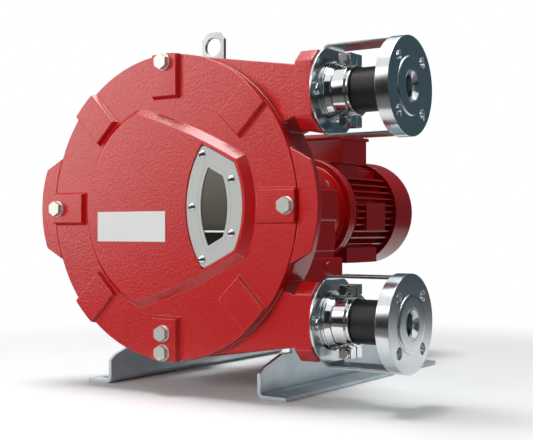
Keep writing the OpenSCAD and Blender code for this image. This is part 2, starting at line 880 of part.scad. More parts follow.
// Feet; drawn for the +X side, with y counted from the front of the foot
module foot_profile() {
    wall_y = rear_y - foot_setback;
    polygon([
        [0, 0], [foot_len, 0], [foot_len, foot_front_h - 6], [foot_len - 14, foot_front_h],
        [wall_y + wall_depth + 40, foot_mid_h], [wall_y + wall_depth, foot_rear_h], [wall_y + 4, foot_rear_h],
        [wall_y + 4, foot_mid_h], [wall_y - 20, foot_mid_h], [10, foot_front_h], [0, foot_front_h - 7]
    ]);
}

module foot() {
    bend = foot_t + 4;
    color(zinc) translate([foot_x, -foot_len / 2, 0]) difference() {
        union() {
            difference() {
                along_x(0, foot_t) foot_profile();
                block([-1, -1, -1], [foot_t + 1, foot_len + 1, bend]);
            }
            block([bend, 0, 0], [foot_w, foot_len, foot_t]);
            intersection() {
                translate([bend, 0, bend]) difference() {
                    rod_y(bend, 0, foot_len);
                    rod_y(bend - foot_t, -1, foot_len + 1);
                }
                block([-1, -1, -1], [bend + eps, foot_len + 1, bend + eps]);
            }
        }
        for (y = [floor_hole_inset, foot_len - floor_hole_inset])
            translate([floor_hole_x - foot_x, y, -1]) cylinder(r = floor_hole_r, h = foot_t + 2);
        at_foot_bolts() rod_x(bolt_r, -1, foot_t + 1);
    }
}
floor_hole_x = foot_x + 25;

module at_foot_bolts() {
    for (y = [rear_y - foot_setback + 30, rear_y - foot_setback + wall_depth - 24])
        translate([0, y, foot_rear_h - 18]) children();
}

module foot_right() {
    foot();
}

module foot_left() {
    mirror([1, 0, 0]) foot();
}

module foot_bolts() {
    color(steel) mirror_copy([1, 0, 0]) translate([foot_x, -foot_len / 2, 0]) at_foot_bolts()
        mirror([1, 0, 0]) hex_bolt_x(bolt_r, bolt_flat, bolt_head_h, -foot_t, foot_t + 14);
}

// Drive bracket
lug_mid = 4;
lug_low = lug_mid - lug_h / 2;
lug_root = 100;
gusset_low = -56;
plate_bolt = 76;
low_bolt_x = 60;
low_bolt_z = drum_r - 22.3;
lug_bolt_x = lug_reach - 18;
rear_bolt_places = [
    [lug_bolt_x, lug_mid], [-lug_bolt_x, lug_mid], [plate_bolt, plate_bolt], [-plate_bolt, plate_bolt],
    [low_bolt_x, -low_bolt_z], [-low_bolt_x, -low_bolt_z]
];

module at_rear_bolts() {
    for (p = rear_bolt_places) translate([p[0], 0, p[1]]) children();
}

function bolt_seat(p) = p[1] == lug_mid ? rear_y + lug_depth : case_y;

module drive_bracket() {
    wall = 19;
    bottom = -axis_h + foot_mid_h + 6;
    color(red) at_axis() difference() {
        union() {
            rod_y(plate_r, rear_y, case_y);
            block([-foot_x, rear_y, bottom], [foot_x, case_y, -wall_drop]);
            mirror_copy([1, 0, 0]) {
                block([lug_root, rear_y, lug_low], [lug_reach, rear_y + lug_depth, lug_low + lug_h]);
                block([lug_root, rear_y, gusset_low],
                    [lug_reach - 2, rear_y + lug_depth - 1, lug_low + eps]);
                block([foot_x - wall, rear_y, bottom], [foot_x, rear_y + wall_depth, -wall_drop]);
                translate([0, rear_y + wall_depth - 40, -wall_drop - 14]) rod_x(9, foot_x - 1, foot_x + 3);
            }
        }
        rod_y(case_spigot_r + fit_gap, rear_y - 1, case_y + 1);
        block([-half_eye, rear_y - 1, 100], [half_eye, case_y + 1, drum_r]);
        for (p = rear_bolt_places) translate([p[0], 0, p[1]]) rod_y(bolt_r, rear_y - 1, bolt_seat(p) + 1);
        at_case_bolts() rod_y(medium_r, case_y - 12, case_y + 1);
        translate([0, -cover_y - foot_len / 2, -axis_h]) mirror_copy([1, 0, 0])
            at_foot_bolts() rod_x(bolt_r, foot_x - 14, foot_x + 1);
    }
}
case_spigot_r = 58;
half_eye = eye_w / 2 + 1;

module rear_hex_bolts() {
    color(steel) at_axis() {
        for (p = rear_bolt_places) translate([p[0], bolt_seat(p), p[1]]) mirror([0, 1, 0])
            hex_bolt_y(bolt_r, bolt_flat, bolt_head_h, 0, bolt_seat(p) - rear_y + back_hole - 1);
        at_eye_bolts() translate([0, rear_y + eye_t, 0]) mirror([0, 1, 0])
            hex_bolt_y(bolt_r, bolt_flat, bolt_head_h, 0, eye_t + back_hole - 1);
    }
}

// Gearbox
// Two round ends, about the output shaft and the layshaft, and a flat middle that stands proud of them
module case_solid(r, from, to) {
    side = r + 1;
    rod_y(r, from, to);
    translate([0, 0, -lay_drop]) rod_y(r, from, to);
    block([-side, from, -lay_drop + 4], [side, to, -4]);
}

module at_case_bolts() {
    for (a = case_bolt_angles) turn_y(a) translate([case_bolt_reach, 0, 0]) children();
    for (side = [1, -1]) translate([side * (case_bolt_reach + 0.5), 0, -lay_drop / 2]) children();
}

module at_case_cover_bolts() {
    r = case_r - gearbox_wall / 2;
    for (a = [30, 90, 150]) translate([r * cos(a), 0, r * sin(a)]) children();
    for (a = [210, 270, 330]) translate([r * cos(a), 0, r * sin(a) - lay_drop]) children();
}

module gearbox_housing() {
    web_end = case_y + case_boss_h - 1;
    color(red) at_axis() difference() {
        union() {
            case_solid(case_r, case_y, case_end);
            rod_y(case_spigot_r, rear_y, case_y + 1);
            at_case_bolts() rod_y(case_boss_r, case_y, case_y + case_boss_h);
            for (a = case_bolt_angles) turn_y(a)
                block([case_r - 4, case_y, -case_web / 2], [case_bolt_reach, web_end, case_web / 2]);
            block([-case_bolt_reach, case_y, (-lay_drop - case_web) / 2],
                [case_bolt_reach, web_end, (-lay_drop + case_web) / 2]);
        }
        case_solid(case_inner_r, cavity_y, case_end + 1);
        rod_y(shaft_r + 3, rear_y - 1, cavity_y + 1);
        rod_y(shaft_r + bearing_ring, rear_y + 4, cavity_y + 1);
        translate([0, 0, -lay_drop]) rod_y(layshaft_r + 9, cavity_y - 12, cavity_y + 1);
        at_case_bolts() rod_y(medium_r, case_y - 1, case_y + case_boss_h + 1);
        at_case_cover_bolts() rod_y(small_r, case_end - 14, case_end + 1);
    }
}

module gearbox_cover() {
    color(red) at_axis() difference() {
        union() {
            case_solid(case_r, case_end, neck_start - 4);
            rod_y(motor_flange_r - 10, case_end, motor_y);
            rod_y(motor_flange_r, motor_y - 8, motor_y);
        }
        rod_y(30, case_end - 1, neck_start);
        rod_y(motor_flange_r - 20, neck_start - 2, motor_y + 1);
        translate([0, 0, -lay_drop]) rod_y(layshaft_r + 9, case_end - 1, case_end + 12);
        at_case_cover_bolts() rod_y(small_r, case_end - 1, neck_start + 1);
        at_motor_bolts() rod_y(3, motor_y - 6, motor_y + 1);
    }
}

module gearbox_bolts() {
    color(steel) at_axis() {
        at_case_bolts() translate([0, case_y + case_boss_h, 0]) mirror([0, 1, 0])
            hex_bolt_y(medium_r, medium_flat, medium_head_h, 0, case_boss_h + 10);
        at_case_cover_bolts() translate([0, neck_start - 4, 0]) mirror([0, 1, 0])
            hex_bolt_y(small_r, small_flat, small_head_h, 0, neck_start - 4 - case_end + 12);
    }
}

module output_bearings() {
    color(steel) at_axis() {
        ring_y(shaft_r + bearing_ring, shaft_r + run_gap, rear_y + 4, rear_y + 4 + bearing_w);
        ring_y(shaft_r + bearing_ring, shaft_r + run_gap, cavity_y - bearing_w, cavity_y);
    }
}

module layshaft_bearings() {
    color(steel) at_axis() translate([0, 0, -lay_drop]) {
        ring_y(layshaft_r + 9, layshaft_r + run_gap, cavity_y - 12, cavity_y);
        ring_y(layshaft_r + 9, layshaft_r + run_gap, case_end, case_end + 12);
    }
}

module shaft_seal() {
    color(dark) at_axis() ring_y(bearing_ring + 12, shaft_r + run_gap, chamber_end, rear_y);
}

// Involute gear in the XZ plane with a tooth centred on the given angle
function involute(a) = tan(a) * 180 / PI - a;
function tooth_half(teeth, r) =
    let (pitch = gear_m * teeth / 2, base = pitch * cos(20), a = acos(min(1, base / max(r, base))))
    (90 - backlash / gear_m * 180 / PI / 2) / teeth + involute(20) - involute(a);
function gear_points(teeth, phase) =
    let (pitch = gear_m * teeth / 2, root = pitch - 1.25 * gear_m, tip = pitch + gear_m)
    [for (i = [0:teeth - 1]) each [
        for (f = [[root, -1], [pitch, -1], [tip, -1], [tip, 1], [pitch, 1], [root, 1]])
            arc_point(f[0], phase + 360 * i / teeth + f[1] * tooth_half(teeth, f[0]))
    ]];

module gear(teeth, phase, bore, from, to) {
    difference() {
        along_y(from, to) polygon(gear_points(teeth, phase));
        rod_y(bore, from - 1, to + 1);
    }
}

// Rotor and everything that turns with it
module rotor_arm() {
    low = hose_y - rotor_w / 2;
    high = hose_y + rotor_w / 2;
    block([0, low + 6, -arm_half], [shoe_seat_r - shoe_flange_t + eps, high - 6, arm_half]);
    block([shoe_seat_r - shoe_flange_t, low, -shoe_half], [shoe_seat_r, high, shoe_half]);
}
shoe_half = sqrt(pow(shoe_nose_r, 2) - pow(shoe_seat_r - shoe_centre_r, 2)) - 2;
shaft_front = hose_y - rotor_w / 2 - 2;
shoe_flange_t = 12;

module at_shoe_bolts() {
    for (side = [1, -1]) for (y = [-14, 14]) for (z = [-1, 1])
        translate([0, hose_y + y, z * (arm_half + shoe_half) / 2])
            rotate([0, 0, side > 0 ? 0 : 180]) children();
}

module rotor() {
    color(dark) at_axis() difference() {
        union() {
            rod_y(hub_r, hose_y - rotor_w / 2, hose_y + rotor_w / 2);
            rotor_arm();
            mirror([1, 0, 0]) rotor_arm();
        }
        rod_y(shaft_r, 0, rear_y);
        at_shoe_bolts() rod_x(medium_r, shoe_seat_r - shoe_flange_t - 1, shoe_seat_r + 1);
    }
}

module pressing_shoes() {
    color(steel) at_axis() mirror_copy([1, 0, 0]) difference() {
        intersection() {
            translate([shoe_centre_r, 0, 0])
                rod_y(shoe_nose_r, hose_y - rotor_w / 2, hose_y + rotor_w / 2, $fn = 180);
            block([shoe_seat_r, 0, -big], [big, big, big]);
        }
        at_shoe_bolts() rod_x(medium_r, shoe_seat_r - 1, shoe_seat_r + 14);
    }
}

module shoe_bolts() {
    color(steel) at_axis() at_shoe_bolts()
        hex_bolt_x(medium_r, medium_flat, medium_head_h, shoe_seat_r - shoe_flange_t, 25);
}

module output_shaft() {
    color(steel) at_axis() rod_y(shaft_r, shaft_front, output_wheel_y + wheel_w + 2);
}

module output_wheel() {
    color(steel) at_axis() gear(wheel_teeth, -90, shaft_r, output_wheel_y, output_wheel_y + wheel_w);
}

module layshaft() {
    color(steel) at_axis() translate([0, 0, -lay_drop]) {
        rod_y(layshaft_r, cavity_y - 12, case_end + 12);
        gear(pinion_teeth, 90 + 180 / pinion_teeth, layshaft_r - 1,
            output_wheel_y - 2, output_wheel_y + wheel_w + 2);
    }
}

module lay_wheel() {
    color(steel) at_axis() translate([0, 0, -lay_drop])
        gear(wheel_teeth, 90, layshaft_r, lay_wheel_y, lay_wheel_y + wheel_w);
}

module motor_pinion() {
    color(steel) at_axis()
        gear(pinion_teeth, -90 + 180 / pinion_teeth, pinion_end_r,
            lay_wheel_y - 3, lay_wheel_y + wheel_w + 3);
}

module motor_shaft() {
    color(steel) at_axis() {
        rod_y(pinion_end_r, lay_wheel_y - 6, lay_wheel_y + wheel_w + 6);
        rod_y(motor_shaft_r, lay_wheel_y + wheel_w + 6 - eps, frame_end + 8);
        rod_y(fan_shaft_r, frame_end + 8 - eps, fan_y + fan_w + 2);
    }
}

module rotor_core() {
    color(dark) at_axis() ring_y(core_r, motor_shaft_r, stator_y, stator_y + stator_len);
}

module cooling_fan() {
    color(dark) at_axis() difference() {
        union() {
            rod_y(fan_hub_r, fan_y, fan_y + fan_w);
            rod_y(frame_bore_r, fan_y, fan_y + fan_disc_t);
            for (i = [0:7]) turn_y(45 * i)
                block([fan_hub_r - 5, fan_y, -fan_blade_t / 2],
                    [frame_bore_r, fan_y + fan_w, fan_blade_t / 2]);
        }
        rod_y(fan_shaft_r, fan_y - 1, fan_y + fan_w + 1);
    }
}

// Motor
module at_motor_bolts() {
    for (a = [45, 135, 225, 315])
        translate([(motor_flange_r - 5) * cos(a), 0, (motor_flange_r - 5) * sin(a)]) children();
}

module motor_flange() {
    color(red) at_axis() difference() {
        union() {
            rod_y(motor_flange_r, motor_y, flange_rim_end);
            rod_y(frame_bore_r + frame_wall + 3, motor_y, frame_y);
        }
        rod_y(motor_shaft_r + 1, motor_y - 1, frame_y + 1);
        rod_y(motor_shaft_r + 12, frame_y - 10, frame_y + 1);
    }
}

// Fins parallel to the floor on the sides, upright above and below
module fin_set() {
    count = floor(fin_r / fin_pitch);
    for (i = [-count:count]) if (abs(i * fin_pitch) < frame_bore_r - 4)
        translate([0, 0, i * fin_pitch])
            block([-fin_r, frame_y + 4, -fin_t / 2], [fin_r, frame_end - 2, fin_t / 2]);
    for (i = [-4:4])
        translate([i * fin_pitch, 0, 0])
            block([-fin_t / 2, frame_y + 4, -fin_r], [fin_t / 2, frame_end - 2, box_z]);
}

module motor_frame() {
    outer = frame_bore_r + frame_wall;
    color(red) at_axis() difference() {
        union() {
            rod_y(outer, frame_y, frame_end);
            intersection() {
                fin_set();
                rod_y(fin_r, frame_y, frame_end);
            }
            mirror_copy([1, 0, 0]) {
                block([outer - 12, frame_y + 32, -28], [fin_r + 1, frame_y + 92, 13]);
                block([34, frame_y + 2, -box_z - 5], [60, frame_y + 98, -55]);
            }
            block([-42, frame_y + 2, 50], [42, box_y + box_len - 3, box_z]);
        }
        rod_y(frame_bore_r, frame_y - 1, frame_end + 1);
    }
}

module motor_end_shield() {
    color(red) at_axis() difference() {
        union() {
            rod_y(frame_bore_r, frame_end - 6, frame_end + 1);
            rod_y(frame_bore_r + frame_wall + 4, frame_end, frame_end + 6);
        }
        rod_y(motor_shaft_r + 1, frame_end - 7, frame_end + 7);
        rod_y(motor_shaft_r + 12, frame_end - 4, frame_end + 4);
    }
}

module motor_bearings() {
    color(steel) at_axis() {
        ring_y(motor_shaft_r + 12, motor_shaft_r + run_gap, frame_y - 10, frame_y);
        ring_y(motor_shaft_r + 12, motor_shaft_r + run_gap, frame_end - 4, frame_end + 4);
    }
}

module stator_core() {
    color(steel) at_axis() ring_y(frame_bore_r, core_r + 0.5, stator_y, stator_y + stator_len);
}

module stator_windings() {
    color("peru") at_axis() {
        ring_y(frame_bore_r - 3, core_r + 4, stator_y - winding_len, stator_y);
        ring_y(frame_bore_r - 3, core_r + 4, stator_y + stator_len, stator_y + stator_len + winding_len);
    }
}

module fan_cover() {
    wall = 2;
    color(red) at_axis() difference() {
        spin_profile([
            [fan_cover_r - wall, frame_end - 6], [fan_cover_r, frame_end - 6],
            [fan_cover_r, cover_end_y - 6], [fan_cover_r - 6, cover_end_y],
            [0, cover_end_y], [0, cover_end_y - wall], [fan_cover_r - 7, cover_end_y - wall],
            [fan_cover_r - wall, cover_end_y - 7]
        ]);
        for (ring = [1:5]) for (i = [0:7]) turn_y(45 * i + 22.5 * (ring % 2))
            translate([12 * ring, 0, 0]) rod_y(4, cover_end_y - 8, cover_end_y + 1, $fn = 24);
    }
    color(red) at_axis() for (a = [45, 135, 225, 315]) turn_y(a)
        block([frame_bore_r + frame_wall + 4, frame_end, -6], [fan_cover_r - wall + eps, frame_end + 6, 6]);
}

module spin_profile(points) {
    rotate([-90, 0, 0]) rotate_extrude($fn = 128) polygon(points);
}

module terminal_box() {
    y = box_y;
    color(red) at_axis() difference() {
        block([-box_half, y, box_z], [box_half, y + box_len, box_z + box_h]);
        block([5 - box_half, y + 5, box_z + 5], [box_half - 5, y + box_len - 5, box_z + box_h + 1]);
        translate([-box_half - 1, y + box_len / 2, box_z + box_h / 2]) rod_x(8, 0, 8);
        at_lid_screws() translate([0, 0, box_z + box_h - 8]) cylinder(r = 2, h = 9);
    }
}

module at_lid_screws() {
    for (x = [2.5 - box_half, box_half - 2.5]) for (y = [2.5, box_len - 2.5])
        translate([x, box_y + y, 0]) children();
}

module terminal_lid() {
    y = box_y;
    top = box_z + box_h;
    color(red) at_axis() difference() {
        union() {
            block([-box_half - 3, y - 3, top], [box_half + 3, y + box_len + 3, top + 5]);
            block([8 - box_half, y + 8, top + 5 - eps], [box_half - 8, y + box_len - 8, top + lid_h]);
        }
        at_lid_screws() translate([0, 0, top - 1]) cylinder(r = 2, h = 7);
    }
}

module lid_screws() {
    top = box_z + box_h;
    color(steel) at_axis() at_lid_screws() {
        translate([0, 0, top - 7]) cylinder(r = 2, h = 12 + eps);
        translate([0, 0, top + 5]) cylinder(r = 3.5, h = 2.5);
    }
}

module cable_gland() {
    color(dark) at_axis() translate([-box_half, box_y + box_len / 2, box_z + box_h / 2]) difference() {
        union() {
            rod_x(8, -3, 5);
            rotate([0, -90, 0]) cylinder(r = 11, h = 6, $fn = 6);
            rod_x(9, -17, -6 + eps);
        }
        rod_x(5, -18, 6);
    }
}

pump_housing();
cover();
cover_seal();
cover_bolts();
cover_washers();
cover_plug();
window_gasket();
window_pane();
window_frame();
window_screws();
nameplate();
lifting_eye();
rear_hex_bolts();
pump_hose();
bracket(1);  // bracket_upper
bracket(-1);  // bracket_lower
hose_collar(1);  // hose_collar_upper
hose_collar(-1);  // hose_collar_lower
hose_clamp(1);  // hose_clamp_upper
hose_clamp(-1);  // hose_clamp_lower
flange(1);  // flange_upper
flange(-1);  // flange_lower
insert(1);  // insert_upper
insert(-1);  // insert_lower
bracket_bolts();
clamp_bolts();
flange_screws();
foot_left();
foot_right();
foot_bolts();
drive_bracket();
gearbox_housing();
gearbox_cover();
gearbox_bolts();
output_bearings();
layshaft_bearings();
shaft_seal();
motor_flange();
motor_frame();
motor_end_shield();
motor_bearings();
stator_core();
stator_windings();
fan_cover();
terminal_box();
terminal_lid();
lid_screws();
cable_gland();
rotor();
pressing_shoes();
shoe_bolts();
output_shaft();
output_wheel();
layshaft();
lay_wheel();
motor_shaft();
motor_pinion();
rotor_core();
cooling_fan();
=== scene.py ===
import json
import math

import bmesh
import bpy
from mathutils import Matrix, Vector


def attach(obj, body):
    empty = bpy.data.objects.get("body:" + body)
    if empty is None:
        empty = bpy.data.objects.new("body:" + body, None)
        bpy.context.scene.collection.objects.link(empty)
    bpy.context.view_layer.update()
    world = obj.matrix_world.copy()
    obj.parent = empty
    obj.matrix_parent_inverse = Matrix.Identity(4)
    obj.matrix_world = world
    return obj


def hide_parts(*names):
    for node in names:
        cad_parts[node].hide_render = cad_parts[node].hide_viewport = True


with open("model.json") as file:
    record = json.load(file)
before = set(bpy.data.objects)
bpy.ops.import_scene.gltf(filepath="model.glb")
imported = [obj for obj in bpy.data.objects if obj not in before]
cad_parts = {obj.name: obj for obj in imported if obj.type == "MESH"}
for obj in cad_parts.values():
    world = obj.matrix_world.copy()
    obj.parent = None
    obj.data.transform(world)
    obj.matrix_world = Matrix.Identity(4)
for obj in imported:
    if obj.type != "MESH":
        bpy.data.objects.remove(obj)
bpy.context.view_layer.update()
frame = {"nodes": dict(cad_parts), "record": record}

NODES = frame["nodes"]
BODIES = frame["record"]["behaviour"]["bodies"]
BODY_OF = {node: body for body, nodes in BODIES.items() for node in nodes}
SLOT_OF = {part["node"]: part["material_slot"] for part in frame["record"]["subparts"]}

MM = 0.001
# The pump axis at the front plane of the cover, in metres. Other places on the pump are
# in millimetres from there: X to the right, Y backwards, Z up.
AXIS = Vector((0, -0.242, 0.233))
PORT_HEIGHTS = (135, -135)
HOSE_Y = 55
LIQUID_Z = -30
WELD = 1e-6


def at(x, y, z):
    """A point given in millimetres from the pump axis and the front of the cover."""
    return AXIS + Vector((x, y, z)) * MM


def on_circle(radius, degrees, middle=(0, 0)):
    """The (x, z) point at an angle on a circle about the middle."""
    angle = math.radians(degrees)
    return (middle[0] + radius * math.cos(angle), middle[1] + radius * math.sin(angle))


# Colours

def linear(red, green, blue):
    """The linear colour of a display colour given from 0 to 255."""
    def one(c):
        c /= 255
        return c / 12.92 if c <= 0.04045 else ((c + 0.055) / 1.055) ** 2.4
    return (one(red), one(green), one(blue), 1)


def shade(colour, share):
    """The colour with its brightness multiplied by the share."""
    return tuple(c * share for c in colour[:3]) + (1,)


WHITE = (1, 1, 1, 1)
RED, RED_DEEP = (0.445, 0.0045, 0.0055, 1), (0.41, 0.004, 0.005, 1)
MOTOR_RED, MOTOR_RED_DEEP = (0.4, 0.006, 0.009, 1), (0.34, 0.0045, 0.007, 1)


# Shader tools

class Value:
    """A shader socket that takes part in Python arithmetic."""

    def __init__(self, graph, socket):
        self.graph, self.socket = graph, socket

    def maths(self, operation, *values):
        return self.graph.node(
            "ShaderNodeMath", {"operation": operation}, dict(enumerate(values)))

    def __add__(self, other):
        return self.maths("ADD", self, other)

    def __sub__(self, other):
        return self.maths("SUBTRACT", self, other)

    def __rsub__(self, other):
        return self.maths("SUBTRACT", other, self)

    def __mul__(self, other):
        return self.maths("MULTIPLY", self, other)

    def __pow__(self, other):
        return self.maths("POWER", self, other)

    __radd__ = __add__

    def above(self, low, high):
        """0 where the value is under low, 1 over high, smooth between."""
        return self.graph.node("ShaderNodeMapRange", {"interpolation_type": "SMOOTHSTEP"},
                               {"Value": self, "From Min": low, "From Max": high})


class Graph:
    """Builds the node tree of a world or a material."""

    def __init__(self, owner):
        owner.use_nodes = True
        self.owner, self.tree = owner, owner.node_tree
        self.tree.nodes.clear()

    def node(self, kind, settings=None, inputs=None, output=0):
        """Makes a node with its settings and inputs, and gives one of its outputs."""
        made = self.tree.nodes.new(kind)
        for key, value in (settings or {}).items():
            setattr(made, key, value)
        for key, value in (inputs or {}).items():
            if isinstance(value, Value):
                self.tree.links.new(value.socket, made.inputs[key])
            else:
                made.inputs[key].default_value = value
        return Value(self, made.outputs[output])

    def shown(self):
        """1 for what the camera, a mirror or glass sees, 0 for light that falls on things."""
        rays = self.tree.nodes.new("ShaderNodeLightPath")
        camera = Value(self, rays.outputs["Is Camera Ray"])
        mirror = Value(self, rays.outputs["Is Glossy Ray"])
        through = Value(self, rays.outputs["Is Transmission Ray"])
        return (camera + mirror + through).above(0, 1)

    def close(self, surface, kind="ShaderNodeOutputMaterial"):
        """Joins a shader to the output of the tree."""
        out = self.tree.nodes.new(kind)
        self.tree.links.new(surface.socket, out.inputs["Surface"])


class Paint(Graph):
    """One material, built from nodes on the piece's own coordinates."""

    def __init__(self, name):
        super().__init__(bpy.data.materials.new(name))
        self.place = self.node("ShaderNodeTexCoord", output="Object")

    def scaled(self, scale, centre=(0, 0, 0)):
        """The piece's coordinates about a centre, scaled by axis."""
        moved = self.node("ShaderNodeVectorMath", {"operation": "SUBTRACT"},
                          {0: self.place, 1: centre})
        return self.node("ShaderNodeVectorMath", {"operation": "MULTIPLY"}, {0: moved, 1: scale})

    def noise(self, scale, detail, vector=None):
        return self.node("ShaderNodeTexNoise", None, {
            "Vector": vector or self.place, "Scale": scale, "Detail": detail})

    def parts(self, centre=(0, 0, 0)):
        """The x, y and z of the piece's coordinates about a centre."""
        split = self.node("ShaderNodeSeparateXYZ", None, {0: self.scaled((1, 1, 1), centre)})
        return [Value(self, socket) for socket in split.socket.node.outputs]

    def blend(self, factor, first, second):
        return self.node("ShaderNodeMix", {"data_type": "RGBA"},
                         {0: factor, 6: first, 7: second}, output=2)

    def bump(self, height, distance, strength=1):
        return self.node("ShaderNodeBump", None, {
            "Height": height, "Distance": distance, "Strength": strength})

    def glow(self, colour, strength):
        return self.node("ShaderNodeEmission", None, {"Color": colour, "Strength": strength})

    def finish(self, **sockets):
        """Joins the named sockets to the surface and gives the material."""
        named = {key.replace("_", " ").title(): value for key, value in sockets.items()}
        if "Ior" in named:
            named["IOR"] = named.pop("Ior")
        self.close(self.node("ShaderNodeBsdfPrincipled", None, named))
        return self.owner


# Finishes

def gloss_paint(name, colour, deep, rough, peel_depth, peel_size, gloss):
    """Gloss paint; a casting under it shows as orange peel and faint mottling."""
    p = Paint(name)
    mottle = p.noise(14, 4)
    peel = p.noise(peel_size, 2) * 0.7 + p.noise(peel_size * 2.3, 2) * 0.3
    return p.finish(
        base_color=p.blend(mottle.above(0.35, 0.7) * 0.5, colour, deep),
        roughness=rough + mottle * 0.06, ior=gloss, normal=p.bump(peel, peel_depth))


def zinc_sheet(name, colour, dark, grain, rough=0.3, metal=1):
    """Zinc-plated sheet with faint rolling lines, fine where the grain is high, and clouds."""
    p = Paint(name)
    lines = p.noise(1, 4, p.scaled(grain))
    cloud = p.noise(22, 3)
    return p.finish(
        base_color=p.blend(cloud.above(0.35, 0.72) * 0.6 + lines * 0.2, colour, dark),
        metallic=metal, roughness=rough + cloud * 0.1 + lines * 0.06,
        normal=p.bump(lines, 0.03 * MM, 0.4))


def turned_metal(name, colour, dark, centre):
    """Metal turned on a lathe about an axis along X: fine rings on the faces."""
    p = Paint(name)
    x, y, z = p.parts(centre)
    fineness = 900
    turned = p.node("ShaderNodeCombineXYZ", None, {
        0: (y * y + z * z) ** 0.5 * fineness, 1: x * fineness, 2: 0.0})
    rings = p.noise(1, 3, turned)
    cloud = p.noise(30, 3)
    return p.finish(
        base_color=p.blend(rings.above(0.35, 0.75) * 0.2 + cloud * 0.15, colour, dark),
        metallic=1, roughness=0.13 + rings * 0.05 + cloud * 0.04,
        normal=p.bump(rings, 0.01 * MM, 0.4))


def plated(name, colour, rough, metal=1):
    """Bright plated metal with faint handling marks."""
    p = Paint(name)
    marks = p.noise(160, 4)
    cloud = p.noise(35, 2)
    return p.finish(
        base_color=p.blend(cloud * 0.3, colour, shade(colour, 0.7)),
        metallic=metal, roughness=rough + marks * 0.08, normal=p.bump(marks, 0.03 * MM, 0.3))


def machined(name, colour, rough=0.35, metal=1):
    """Bare metal with a fine grain, brighter and darker in clouds."""
    p = Paint(name)
    grain = p.noise(420, 3)
    cloud = p.noise(30, 3)
    return p.finish(
        base_color=p.blend(cloud * 0.5, colour, shade(colour, 0.6)),
        metallic=metal, roughness=rough + grain * 0.15, normal=p.bump(grain, 0.06 * MM, 0.5))


def moulded(name, colour, rough=0.5, grain_depth=0.06 * MM):
    """Moulded rubber or plastic with a fine matt grain."""
    p = Paint(name)
    grain = p.noise(700, 2)
    cloud = p.noise(25, 3)
    return p.finish(
        base_color=p.blend(cloud * 0.4, colour, shade(colour, 1.3)),
        roughness=rough + cloud * 0.12, normal=p.bump(grain, grain_depth, 0.5))


def smoked_glass(name):
    """Dark pane with a painted highlight as a bright line where the liquid's surface is, and a
    darker part below it.
    """
    p = Paint(name)
    haze = p.noise(40, 3)
    height = p.parts(at(0, 0, LIQUID_Z))[2]
    # Painted highlight: the bright line is the light caught by the liquid's surface, painted into
    # the base colour
    line = (height.above(-1.3 * MM, -0.9 * MM)
            * (1 - height.above(0.9 * MM, 1.3 * MM)))
    upper = p.blend(height.above(0.0, 90 * MM), linear(74, 70, 64), linear(104, 98, 92))
    over_line = p.blend(1 - height.above(0.0, 12 * MM), upper, linear(52, 56, 46))
    pane = p.blend(height.above(-0.5 * MM, 0.5 * MM), linear(26, 28, 22), over_line)
    return p.finish(base_color=p.blend(line, pane, linear(228, 230, 226)),
                    roughness=0.1 + haze * 0.05, alpha=0.97 + haze * 0.03)


FINE_GRAIN = 0.02 * MM
FINISHES = {
    "casting": gloss_paint(
        "Casting paint", RED, RED_DEEP, rough=0.2, peel_depth=0.42 * MM, peel_size=350, gloss=1.75),
    "smooth": gloss_paint(
        "Smooth paint", RED, RED_DEEP, rough=0.14, peel_depth=0.12 * MM, peel_size=260, gloss=1.45),
    "motor": gloss_paint(
        "Motor paint", MOTOR_RED, MOTOR_RED_DEEP, rough=0.11, peel_depth=0.06 * MM, peel_size=260,
        gloss=1.48),
    "sheet": zinc_sheet("Bright sheet", linear(226, 230, 232), linear(186, 194, 198),
                        grain=(40, 40, 700), rough=0.1),
    "foot": zinc_sheet("Zinc sheet", linear(206, 216, 222), linear(176, 190, 198),
                       grain=(600, 12, 600), metal=0.8),
    "eye": zinc_sheet("Zinc plate", linear(186, 189, 188), linear(166, 170, 170),
                      grain=(80, 80, 80)),
    "chrome": plated("Chrome plate", linear(232, 233, 234), rough=0.05),
    "bolt": plated("Bolt plate", linear(216, 218, 210), rough=0.22, metal=0.5),
    "gear": machined("Gear steel", linear(150, 152, 156)),
    "iron": machined("Cast iron", linear(70, 70, 72), rough=0.55, metal=0.6),
    "shoe": machined("Machined aluminium", linear(200, 200, 202), rough=0.3),
    "copper": machined("Varnished copper", linear(176, 100, 52), rough=0.4),
    "rubber": moulded("Black rubber", linear(15, 15, 14), rough=0.42),
    "plastic": moulded("Black plastic", linear(26, 27, 29)),
    "frame": moulded("Window frame grey", linear(172, 174, 172), 0.3, FINE_GRAIN),
    "plate": moulded("Bare plate", linear(204, 204, 204), 0.36, FINE_GRAIN),
    "glass": smoked_glass("Smoked glass"),
    # Darker grey for a thin sheet on the window frame: painted shade of a groove
    "groove_shade": moulded("Frame groove", linear(150, 154, 154), 0.5, FINE_GRAIN),
}
for side, port_z in zip(("upper", "lower"), PORT_HEIGHTS):
    FINISHES["turned_" + side] = turned_metal(
        "Turned steel " + side, linear(218, 224, 228), linear(190, 200, 206),
        at(300, HOSE_Y, port_z))

